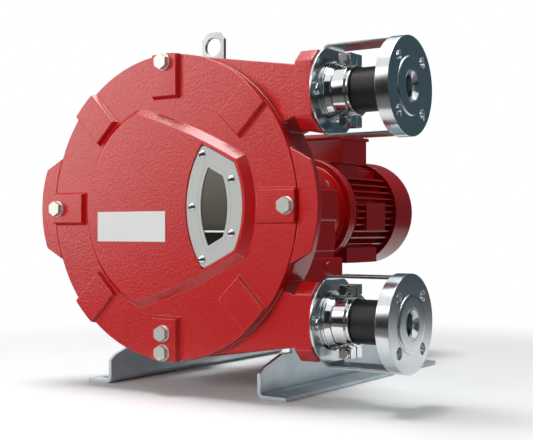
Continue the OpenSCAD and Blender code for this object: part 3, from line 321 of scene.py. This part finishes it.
# The finish of a node comes from its slot, unless the node is in the second table
FINISH_OF = {
    "red_paint": "casting", "red_aluminium": "motor", "bright_steel": "bolt",
    "chrome": "chrome", "zinc": "sheet", "flange_steel": "chrome", "black_rubber": "rubber",
    "grey_plastic": "frame", "smoked_glass": "glass", "white_plate": "plate",
    "cast_iron": "iron", "aluminium": "shoe", "copper": "copper", "black_plastic": "plastic",
}
SPECIAL = {
    "foot_left": "foot", "foot_right": "foot", "lifting_eye": "eye",
    "motor_flange": "motor", "motor_end_shield": "motor", "fan_cover": "motor",
    "gearbox_housing": "smooth", "gearbox_cover": "smooth", "drive_bracket": "smooth",
    "flange_upper": "turned_upper", "flange_lower": "turned_lower",
    "insert_upper": "turned_upper", "insert_lower": "turned_lower",
    "hose_clamp_upper": "chrome", "hose_clamp_lower": "chrome", "clamp_bolts": "chrome",
    "bracket_bolts": "chrome", "window_screws": "chrome",
    "output_shaft": "gear", "output_wheel": "gear", "layshaft": "gear", "lay_wheel": "gear",
    "motor_shaft": "gear", "motor_pinion": "gear", "stator_core": "gear",
    "output_bearings": "gear", "layshaft_bearings": "gear", "motor_bearings": "gear",
}


def finish_of(node):
    return FINISHES[SPECIAL.get(node, FINISH_OF[SLOT_OF[node]])]


# Tools for meshes and objects

def mesh_of(name, shape):
    """A mesh made from the bmesh, which is freed."""
    mesh = bpy.data.meshes.new(name)
    shape.to_mesh(mesh)
    shape.free()
    return mesh


def put(name, data):
    """A new object in the scene that holds the data."""
    thing = bpy.data.objects.new(name, data)
    bpy.context.scene.collection.objects.link(thing)
    return thing


def new_piece(name, shape, node, finish=None, smooth=35):
    """Makes the piece from a bmesh, gives it a finish and lets it ride with its node."""
    mesh = mesh_of(name, shape)
    mesh.polygons.foreach_set("use_smooth", [True] * len(mesh.polygons))
    mesh.set_sharp_from_angle(angle=math.radians(smooth))
    mesh.materials.append(FINISHES[finish] if finish else finish_of(node))
    piece = put(name, mesh)
    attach(piece, BODY_OF[node])
    return piece


def fit(node, shape, slots=False):
    """Puts one piece in the place of a CAD node; the slots of its screws get black plastic as
    painted shade.
    """
    piece = new_piece(node + "_made", shape, node, smooth=40)
    if slots:
        # The black in the screw slots is painted shade
        piece.data.materials.append(FINISHES["plastic"])
    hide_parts(node)


def rounded(node, width, limit=28, flat=0.8):
    """A copy of a CAD node with its edges sharper than the limit rounded, in its place.

    Faces that lie within the flat angle of each other are joined first."""
    shape = bmesh.new()
    shape.from_mesh(NODES[node].data)
    bmesh.ops.remove_doubles(shape, verts=shape.verts, dist=2e-5)
    bmesh.ops.dissolve_limit(
        shape, angle_limit=math.radians(flat), verts=shape.verts, edges=shape.edges)
    sharp = [edge for edge in shape.edges
             if len(edge.link_faces) == 2 and edge.calc_face_angle(0) > math.radians(limit)]
    bmesh.ops.bevel(
        shape, geom=sharp, offset=width * MM, offset_type="OFFSET", affect="EDGES",
        segments=2, profile=0.5, material=-1, clamp_overlap=False)
    piece = new_piece(node + "_rounded", shape, node)
    normals = piece.modifiers.new("Normals", "WEIGHTED_NORMAL")
    normals.keep_sharp = True
    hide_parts(node)


def facing(seat, direction):
    """Places a thing that points up so that it stands on seat and points along direction."""
    turn = Vector(direction).to_track_quat("Z", "Y").to_matrix().to_4x4()
    return Matrix.Translation(seat) @ turn


def across(points, y, direction):
    """Places at (x, z) points in one plane across the pump, all facing one way."""
    return [facing(at(x, y, z), direction) for x, z in points]


def joined(*shapes):
    """One bmesh that holds all the shapes."""
    whole = bmesh.new()
    for shape in shapes:
        part = mesh_of("part", shape)
        whole.from_mesh(part)
        bpy.data.meshes.remove(part)
    return whole


def stamped(shape, places):
    """One bmesh in metres that holds the millimetre shape at each place."""
    bmesh.ops.scale(shape, vec=(MM, MM, MM), verts=shape.verts)
    pattern = mesh_of("pattern", shape)
    whole = bmesh.new()
    for place in places:
        start = len(whole.verts)
        whole.from_mesh(pattern)
        whole.verts.ensure_lookup_table()
        bmesh.ops.transform(whole, matrix=place, verts=whole.verts[start:])
    bpy.data.meshes.remove(pattern)
    return whole


# Bolts, screws and turned pieces, in millimetres, standing on z = 0

def hex_bolt(flat, head, shank, length):
    """A hex head with cut corners on its shank; flat is half the width across its flats."""
    shape = bmesh.new()
    made = bmesh.ops.create_circle(
        shape, cap_ends=True, segments=6, radius=flat / math.cos(math.pi / 6))
    face = made["verts"][0].link_faces[0]
    grown = bmesh.ops.extrude_face_region(shape, geom=[face])["geom"]
    top = [v for v in grown if isinstance(v, bmesh.types.BMVert)]
    bmesh.ops.translate(shape, verts=top, vec=(0, 0, head))
    corner_cut = flat * 0.17
    bmesh.ops.bevel(shape, geom=top, offset=corner_cut, offset_type="OFFSET",
                    affect="VERTICES", segments=3, profile=0.5, material=-1)
    bmesh.ops.create_cone(
        shape, cap_ends=True, segments=24, radius1=shank, radius2=shank, depth=length,
        matrix=Matrix.Translation((0, 0, -length / 2)))
    bmesh.ops.recalc_face_normals(shape, faces=shape.faces)
    return shape


def bolts(size, length, places):
    return stamped(hex_bolt(*size, length), places)


def spun(profile, steps=48):
    """A closed profile of (radius, height) points turned about Z."""
    shape = bmesh.new()
    verts = [shape.verts.new((r, 0, z)) for r, z in profile]
    edges = [shape.edges.new(pair) for pair in zip(verts, verts[1:] + verts[:1])]
    bmesh.ops.spin(shape, geom=verts + edges, cent=(0, 0, 0), axis=(0, 0, 1),
                   angle=math.tau, steps=steps, use_merge=True)
    bmesh.ops.remove_doubles(shape, verts=shape.verts, dist=1e-4)
    bmesh.ops.recalc_face_normals(shape, faces=shape.faces)
    return shape


def washer(outer, inner, thickness, edge=0.3):
    """A flat ring with a softened edge, under z = 0."""
    return spun([(inner, 0), (outer - edge, 0), (outer, -edge), (outer, -thickness),
                 (inner, -thickness)], 40)


def slotted_dome(radius, height, shank, length, slot):
    """A domed screw head on its shank, with a slot of that half width."""
    slot_depth, slot_floor, wall = 1.4, 0.05, 0.08
    dome = [(radius * math.cos(math.radians(a)), height * math.sin(math.radians(a)))
            for a in range(0, 90, 10)]
    shape = spun(dome + [(0, height), (0, -length), (shank, -length), (shank, 0)], 40)
    for side in (-1, 1):
        for edge in (slot, slot - wall):
            bmesh.ops.bisect_plane(
                shape, geom=shape.verts[:] + shape.edges[:] + shape.faces[:],
                plane_co=(side * edge, 0, 0), plane_no=(1, 0, 0))
    for vert in shape.verts:
        if abs(vert.co.x) < slot - wall / 2 and vert.co.z > slot_floor:
            vert.co.z = max(slot_floor, vert.co.z - slot_depth)
    # The slot's faces take the second material, black, as painted shade in the slot
    for face in shape.faces:
        middle = face.calc_center_median()
        if abs(middle.x) < slot and middle.z > 0:
            face.material_index = 1
    return shape


# The window, a region inside four arcs given as (centre, radius)

SHIELD_R = 134
FRAME_INSET = 13.2
SCREW_INSET = FRAME_INSET + 11
# The upper edge of the shield rises by EDGE_RISE between its left and right ends
EDGE_LEFT, EDGE_RIGHT, EDGE_RISE = Vector((-43, 127)), Vector((122.5, 60)), 5.5
EDGE_HALF = (EDGE_RIGHT - EDGE_LEFT).length / 2
EDGE_R = (EDGE_HALF * EDGE_HALF + EDGE_RISE * EDGE_RISE) / (2 * EDGE_RISE)
EDGE_UP = Vector((EDGE_LEFT[1] - EDGE_RIGHT[1], EDGE_RIGHT[0] - EDGE_LEFT[0])) / (2 * EDGE_HALF)
EDGE_CENTRE = (EDGE_LEFT + EDGE_RIGHT) / 2 - (EDGE_R - EDGE_RISE) * EDGE_UP
ARCS = [
    ((0, 0), SHIELD_R - FRAME_INSET),
    ((EDGE_CENTRE[0], EDGE_CENTRE[1]), EDGE_R - FRAME_INSET),
    ((EDGE_CENTRE[0], -EDGE_CENTRE[1]), EDGE_R - FRAME_INSET),
    ((165, 0), 128),
]
# A point well inside all four arcs
WINDOW_MIDDLE = (80, 0)


def circle_exit(origin, direction, centre, radius):
    """How far a ray from inside a circle goes before it leaves it."""
    dx, dz = origin[0] - centre[0], origin[1] - centre[1]
    along = dx * direction[0] + dz * direction[1]
    return -along + math.sqrt(along * along - dx * dx - dz * dz + radius * radius)


def window_points(inset, corner, count=180, rays=1440):
    """Points of the window's outline, moved in by the inset and rounded at the corners."""
    core = []
    for i in range(rays):
        angle = math.tau * i / rays
        way = (math.cos(angle), math.sin(angle))
        reach = min(circle_exit(WINDOW_MIDDLE, way, centre, radius - inset - corner)
                    for centre, radius in ARCS)
        core.append((WINDOW_MIDDLE[0] + reach * way[0], WINDOW_MIDDLE[1] + reach * way[1]))
    points = []
    for i in range(count):
        angle = math.tau * i / count
        across_x, across_z = math.cos(angle), math.sin(angle)
        x, z = max(core, key=lambda point: point[0] * across_x + point[1] * across_z)
        points.append((x + corner * across_x, z + corner * across_z))
    return points


def window_ring(front, back, outer, inner):
    """A ring with the window's outline between two depths; outer and inner are (inset, corner)."""
    shape = bmesh.new()
    rings = []
    for outline in (outer, inner):
        points = window_points(*outline)
        rings.append([[shape.verts.new(at(x, y, z)) for x, z in points] for y in (front, back)])
    count = len(rings[0][0])
    for i in range(count):
        j = (i + 1) % count
        for near, far in rings:
            shape.faces.new((near[i], near[j], far[j], far[i]))
        for out, inside in zip(*rings):
            shape.faces.new((out[i], out[j], inside[j], inside[i]))
    bmesh.ops.remove_doubles(shape, verts=shape.verts, dist=WELD)
    bmesh.ops.recalc_face_normals(shape, faces=shape.faces)
    return shape


# Camera and stage, in metres

def make_camera():
    """The photograph's camera, as solved from it."""
    data = bpy.data.cameras.new("Camera")
    data.lens, data.sensor_width, data.sensor_fit = 70.67, 36, "HORIZONTAL"
    data.shift_x, data.shift_y = 0.0018, 0.0034
    camera = put("Camera", data)
    camera.location = (0.8245, -1.2650, 0.2048)
    camera.rotation_euler = (math.radians(90.445), 0, math.radians(33.48))
    bpy.context.scene.camera = camera


def make_floor():
    """A white floor that keeps the pump's shadow and turns to plain white further out."""
    half, drop = 12, -0.0005
    shape = bmesh.new()
    bmesh.ops.create_grid(shape, x_segments=1, y_segments=1, size=half)
    bmesh.ops.translate(shape, verts=shape.verts, vec=(0, 0, drop))
    floor = put("Floor", mesh_of("Floor", shape))
    p = Paint("White floor")
    shown = p.shown()
    x, y, _ = p.parts((0.05, -0.05, 0))
    radius = (x * x + y * y) ** 0.5
    # Near the pump the floor is painted slightly cyan: painted light that cancels the red light the
    # pump throws onto it
    white = p.blend(radius.above(0.2, 0.45), (0.93, 0.97, 0.97, 1), (0.97, 0.97, 0.97, 1))
    colour = p.blend(shown, (0.3, 0.3, 0.3, 1), white)
    lit = p.node("ShaderNodeBsdfDiffuse", None, {"Color": colour})
    far = radius.above(0.5, 1.0)
    p.close(p.node("ShaderNodeMixShader", None, {0: far * shown, 1: lit, 2: p.glow(WHITE, 1.0)}))
    floor.data.materials.append(p.owner)


def make_world():
    """Dim white light all round; the camera, mirrors and glass see it as full white."""
    world = bpy.data.worlds.new("Studio")
    bpy.context.scene.world = world
    g = Graph(world)
    strength = g.node("ShaderNodeMapRange", None, {
        "Value": g.shown(), "To Min": 0.2, "To Max": 1.0})
    g.close(g.node("ShaderNodeBackground", None, {"Color": WHITE, "Strength": strength}),
            "ShaderNodeOutputWorld")


def area_light(name, place, target, size, power):
    """A soft lamp; the studio cards stand for it in the mirror images."""
    data = bpy.data.lights.new(name, "AREA")
    data.shape, data.energy = "RECTANGLE", power
    data.size, data.size_y = size
    lamp = put(name, data)
    lamp.location = place
    aim = Vector(target) - Vector(place)
    lamp.rotation_euler = aim.to_track_quat("-Z", "Y").to_euler()
    lamp.visible_glossy = False


def studio_card(name, shape, glow):
    """A card that only metal and gloss paint mirror; glow(paint) gives colour and strength."""
    card = put(name, mesh_of(name, shape))
    p = Paint(name)
    p.close(p.glow(*glow(p)))
    card.data.materials.append(p.owner)
    card.visible_camera = card.visible_diffuse = False
    card.visible_shadow = card.visible_transmission = False


def sheet(corners):
    """One flat face."""
    shape = bmesh.new()
    shape.faces.new([shape.verts.new(corner) for corner in corners])
    return shape


def strip(first, second, closed=False):
    """A strip of faces between two lines of points."""
    shape = bmesh.new()
    near, far = [[shape.verts.new(point) for point in line] for line in (first, second)]
    for i in range(len(near) if closed else len(near) - 1):
        j = (i + 1) % len(near)
        shape.faces.new((near[i], near[j], far[j], far[i]))
    return shape


def front_glow(p):
    """Bright to the upper left, nearly black to the lower right."""
    x, _, z = p.parts()
    bright, dim = 2.9, 0.02
    return (1, 0.975, 0.95, 1), (z * 1.13 - x).above(1.62, 2.95) * bright + dim


def floor_glow(p):
    """White beside and behind the pump, dark in front of it and further out."""
    x, y, _ = p.parts()
    near = 1.0 - ((x * x + y * y) ** 0.5).above(0.5, 1.3) * 0.9
    return WHITE, near * (y.above(-0.1, 0.3) * 0.8 + 0.2)


def make_cards():
    """What the pump mirrors: a card in front, one overhead, the floor and a dark wall."""
    front_y, top_z, wall_r, wall_z = -2.3, 2.6, 2.5, 2.4
    floor_radii, floor_z, steps = (0.46, 3.6), 0.002, 48
    studio_card("Front card", sheet([
        (x, front_y, z) for x, z in ((-3.6, 0), (0.9, 0), (0.9, 1.9), (-3.6, 1.9))]), front_glow)
    arc = [on_circle(wall_r, degrees) for degrees in range(-62, 125, 6)]
    studio_card("Dark wall", strip([(x, y, 0) for x, y in arc], [(x, y, wall_z) for x, y in arc]),
                lambda p: (linear(66, 82, 90), 1.0))
    studio_card("Top card", sheet([
        (x, y, top_z) for x, y in ((-0.8, -1.2), (0.8, -1.2), (0.8, 1.0), (-0.8, 1.0))]),
        lambda p: ((1, 0.98, 0.98, 1), 8.0))
    inner, outer = [[(*on_circle(radius, 360 / steps * i), floor_z) for i in range(steps)]
                    for radius in floor_radii]
    studio_card("Floor card", strip(inner, outer, closed=True), floor_glow)


make_camera()
make_floor()
make_world()
make_cards()
bpy.context.scene.view_settings.view_transform = "Standard"
PUMP_MIDDLE = (0.05, -0.1, 0.22)
area_light("Key", (-0.25, -2.4, 0.5), PUMP_MIDDLE, size=(1.3, 1.0), power=40)
area_light("Top", (-0.2, -0.2, 2.3), (-0.02, 0, 0), size=(0.8, 0.8), power=38)
area_light("Side", (2.3, 0.3, 0.6), PUMP_MIDDLE, size=(1.0, 1.0), power=7)

# Every CAD node that shows as it is gets its finish
for node, obj in NODES.items():
    obj.data.materials.clear()
    obj.data.materials.append(finish_of(node))

# Castings, covers and sheet, with the width of their rounded edges in millimetres
ROUNDED = {
    "pump_housing": 1.6, "cover": 0.9, "drive_bracket": 1.6, "gearbox_housing": 1.4,
    "gearbox_cover": 1.4, "terminal_box": 1.2, "terminal_lid": 1.0, "motor_flange": 1.2,
    "fan_cover": 0.5, "lifting_eye": 0.5, "foot_left": 0.6, "foot_right": 0.6,
    "bracket_upper": 0.4, "bracket_lower": 0.4, "hose_collar_upper": 0.8,
    "hose_collar_lower": 0.8, "hose_clamp_upper": 0.5, "hose_clamp_lower": 0.5,
    "flange_upper": 0.4, "flange_lower": 0.4, "nameplate": 0.35, "motor_frame": 0.4,
    "cable_gland": 0.5,
}
# The cover's long shallow bevels need a finer angle than the other pieces
FINE = {"cover": {"limit": 15, "flat": 0.1}}
for node, width in ROUNDED.items():
    rounded(node, width, **FINE.get(node, {}))

# Hex bolts: half the width across the flats, height of the head, radius of the shank
LARGE, MEDIUM, SMALL, CLAMP_NUT = (8.5, 6.5, 5), (6.5, 5.3, 4), (5, 4, 3), (5, 5, 3)
FRONT, BACK, OUT, IN, UP = (0, -1, 0), (0, 1, 0), (1, 0, 0), (-1, 0, 0), (0, 0, 1)
SIDES = (1, -1)

PAD_Y = -9
RIM_R = 181
RIM_BOLTS = [(RIM_R, 0), (0, RIM_R), (-RIM_R, 0), (0, -RIM_R)]
PLUG = (0, -157)
fit("cover_bolts", bolts(LARGE, 35, across(RIM_BOLTS, PAD_Y, FRONT)))
fit("cover_plug", bolts(LARGE, 15, across([PLUG], PAD_Y, FRONT)))
fit("cover_washers", stamped(washer(10.5, 5.05, 2), across(RIM_BOLTS + [PLUG], PAD_Y, FRONT)))

BOSS_X, BOSS_BOLT = 210, 42.5
fit("bracket_bolts", bolts(MEDIUM, 19, [
    facing(at(BOSS_X, HOSE_Y + side * BOSS_BOLT, z), OUT)
    for z in PORT_HEIGHTS for side in SIDES]))

FOOT_X, FOOT_BOLT_Z, FOOT_BOLT_YS = 122, -159, (127, 216)
fit("foot_bolts", bolts(LARGE, 19, [
    facing(at(side * FOOT_X, y, FOOT_BOLT_Z), (side, 0, 0))
    for side in SIDES for y in FOOT_BOLT_YS]))

EAR_BOLTS, EAR_Y = [(132, 4), (-132, 4)], 166
PLATE_BOLTS, PLATE_Y = [(76, 76), (-76, 76), (60, -150), (-60, -150)], 113
EYE_BOLTS, EYE_Y = [(0, 158), (0, 136)], 102
fit("rear_hex_bolts", joined(
    bolts(LARGE, 75, across(EAR_BOLTS, EAR_Y, BACK)),
    bolts(LARGE, 22, across(PLATE_BOLTS, PLATE_Y, BACK)),
    bolts(LARGE, 11, across(EYE_BOLTS, EYE_Y, BACK))))

# The lower ring bolts stand about the layshaft, below the pump axis
LAYSHAFT = (0, -76.5)
CASE_R, CASE_Y, RING_R, RING_Y = 88.25, 125, 75.25, 278
CASE_BOLTS = [on_circle(CASE_R, 35), on_circle(CASE_R, 145), (88.75, -38.25), (-88.75, -38.25)]
RING_BOLTS = [on_circle(RING_R, degrees) for degrees in (30, 90, 150)]
RING_BOLTS += [on_circle(RING_R, degrees, LAYSHAFT) for degrees in (210, 270, 330)]
fit("gearbox_bolts", joined(
    bolts(MEDIUM, 22, across(CASE_BOLTS, CASE_Y, BACK)),
    bolts(SMALL, 28, across(RING_BOLTS, RING_Y, BACK))))

CLAMP_X, CLAMP_HALF, CLAMP_BOLT = 231, 14, 37
CLAMP_BOLTS = [(CLAMP_X, z + side * CLAMP_BOLT) for z in PORT_HEIGHTS for side in SIDES]
fit("clamp_bolts", joined(
    bolts(SMALL, 36, across(CLAMP_BOLTS, HOSE_Y - CLAMP_HALF, FRONT)),
    bolts(CLAMP_NUT, 0.5, across(CLAMP_BOLTS, HOSE_Y + CLAMP_HALF, BACK))))

# The window frame, with a darker line round its opening as painted shade of a groove, and its
# screws
FRAME_Y, FRAME_BACK_Y = -8.5, -6.5
OUTLINE, OPENING = (0.4, 6), (22, 0.6)
GROOVE_OUTER, GROOVE_INNER = (16.6, 2.4), (17.3, 2)
frame_piece = new_piece(
    "window_frame_made", window_ring(FRAME_Y, FRAME_BACK_Y, OUTLINE, OPENING), "window_frame")
softened = frame_piece.modifiers.new("Edges", "BEVEL")
softened.width, softened.segments, softened.limit_method = 0.5 * MM, 2, "ANGLE"
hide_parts("window_frame")
# A thin darker sheet lying on the frame's face: painted shade where a groove runs round the opening
new_piece("window_frame_groove_shade",
          window_ring(FRAME_Y - 0.06, FRAME_Y + 0.1, GROOVE_OUTER, GROOVE_INNER),
          "window_frame", "groove_shade")

SCREW_X, LEFT_SCREW, SCREW_ANGLE = 61.5, (46, 0), 17
SCREW_Z = EDGE_CENTRE[1] + math.sqrt(
    (EDGE_R - SCREW_INSET) ** 2 - (SCREW_X - EDGE_CENTRE[0]) ** 2)
WINDOW_SCREWS = [(SCREW_X, SCREW_Z), (SCREW_X, -SCREW_Z), LEFT_SCREW]
WINDOW_SCREWS += [on_circle(SHIELD_R - SCREW_INSET, side * SCREW_ANGLE) for side in SIDES]
SLOT_TURN = Matrix.Rotation(math.radians(82), 4, "Z")
fit("window_screws", stamped(slotted_dome(5.2, 4.2, 1.5, 9.5, 0.7), [
    place @ SLOT_TURN for place in across(WINDOW_SCREWS, FRAME_Y, FRONT)]), True)

# The screws behind the flanges and in the terminal lid
FLANGE_SCREW = [(0, 3), (3.2, 3), (4.5, 1.9), (4.5, 0), (2.5, 0), (2.5, -11), (0, -11)]
ARM_X, ARM_Z = 289.5, 44
fit("flange_screws", stamped(spun(FLANGE_SCREW), [
    facing(at(ARM_X, HOSE_Y, z + side * ARM_Z), IN) for z in PORT_HEIGHTS for side in SIDES]))
LID_X, LID_YS, LID_Z = 52.5, (351, 424), 114
fit("lid_screws", stamped(slotted_dome(3.5, 2.5, 2, 12, 0.45), [
    facing(at(x, y, LID_Z), UP) for x in (-LID_X, LID_X) for y in LID_YS]), True)

# Inserts with a bell mouth, and the stepped edge of each flange's raised face
INSERT = [
    (12.5, 0), (12.5, 68), (12.7, 69), (15.8, 73.3), (16.4, 74), (16.7, 74.5),
    (18.2, 74.5), (18.5, 74.2), (18.5, 60), (15.5, 60), (15.5, 0.6), (14.9, 0),
]
RAISED_EDGE = [
    (29.5, -0.5), (29.5, 2.02), (30.8, 2.02), (32.2, 1.8), (33.3, 1.3), (34.0, 0.7),
    (34.4, -0.1), (34.4, -0.5),
]
INSERT_X, FLANGE_FACE_X = 236.5, 309
for side, z in zip(("upper", "lower"), PORT_HEIGHTS):
    fit("insert_" + side, stamped(spun(INSERT, 72), [facing(at(INSERT_X, HOSE_Y, z), OUT)]))
    new_piece("flange_" + side + "_raised_edge",
              stamped(spun(RAISED_EDGE, 96), [facing(at(FLANGE_FACE_X, HOSE_Y, z), OUT)]),
              "flange_" + side)

# The end shield's rim closes the ring between the fins and the fan cover
SHIELD_RIM = [(66, 0), (79.7, 0), (79.7, 1.6), (79, 2), (66, 2)]
FIN_END_Y = 483.5
new_piece("end_shield_rim", stamped(spun(SHIELD_RIM, 72), across([(0, 0)], FIN_END_Y, BACK)),
          "motor_end_shield")

# The hose, with smooth walls
hose = bmesh.new()
hose.from_mesh(NODES["pump_hose"].data)
bmesh.ops.remove_doubles(hose, verts=hose.verts, dist=WELD)
fit("pump_hose", hose)
